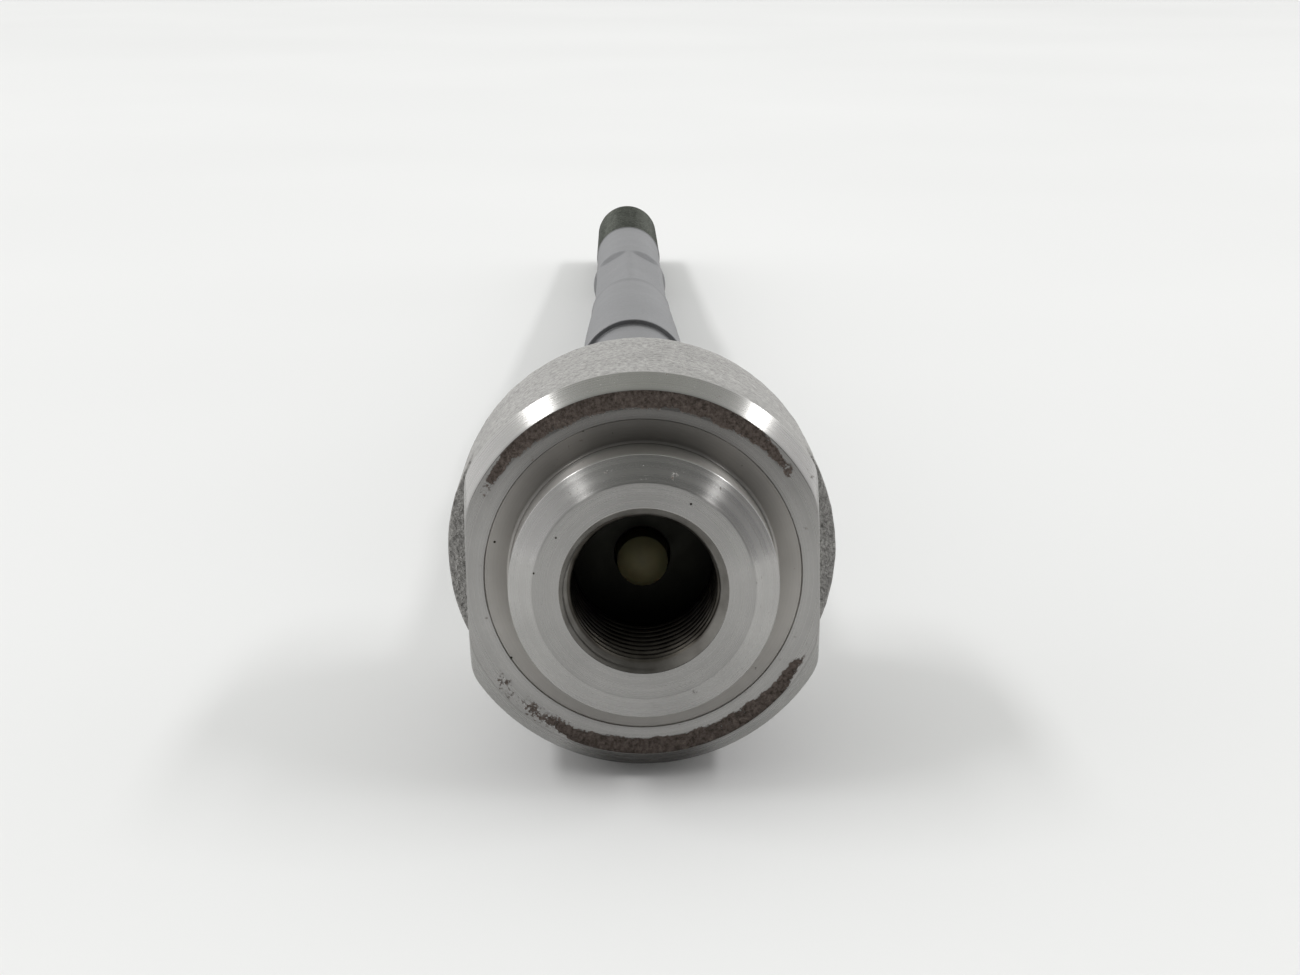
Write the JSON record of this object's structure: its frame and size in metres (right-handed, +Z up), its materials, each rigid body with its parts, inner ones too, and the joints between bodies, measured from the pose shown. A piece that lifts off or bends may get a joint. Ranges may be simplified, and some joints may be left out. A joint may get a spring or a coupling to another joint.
{
  "type": "inner tie rod",
  "caption": "Inner tie rod of a steering rack: forged ball socket with a threaded nose and wrench flats, plastic ball seats, and a long ball-ended rod with a threaded end.",
  "frame": {"origin": "centre of the socket's nose face, on the axis of the rack thread", "axes": "+Y along the rod, from the nose face to the rod's threaded end; +Z up; the two wrench flats face +X and -X"},
  "size_m": [0.0408, 0.337, 0.0408],
  "materials": {
    "housing_steel": "turned nose and flange, shot-blasted forged body",
    "rod_steel": "satin, drawn and forged",
    "seat_plastic": "pale yellow acetal",
    "spring_steel": "dark oiled spring steel",
    "ring_steel": "bright stamped steel"
  },
  "bodies": {
    "socket": {"socket_housing": "housing_steel", "preload_spring": "spring_steel", "closing_ring": "ring_steel"},
    "seats": {"front_ball_seat": "seat_plastic", "rear_ball_seat": "seat_plastic"},
    "rod": {"tie_rod": "rod_steel"}
  },
  "joints": [
    {"name": "swing_direction", "type": "hinge", "parent": "socket", "child": "seats", "pos_m": [0, 0.0355, 0], "axis": [0, 1, 0], "continuous": true},
    {"name": "rod_swing", "type": "hinge", "parent": "seats", "child": "rod", "pos_m": [0, 0.0355, 0], "axis": [0, 0, 1], "range_deg": [-24, 24]}
  ]
}
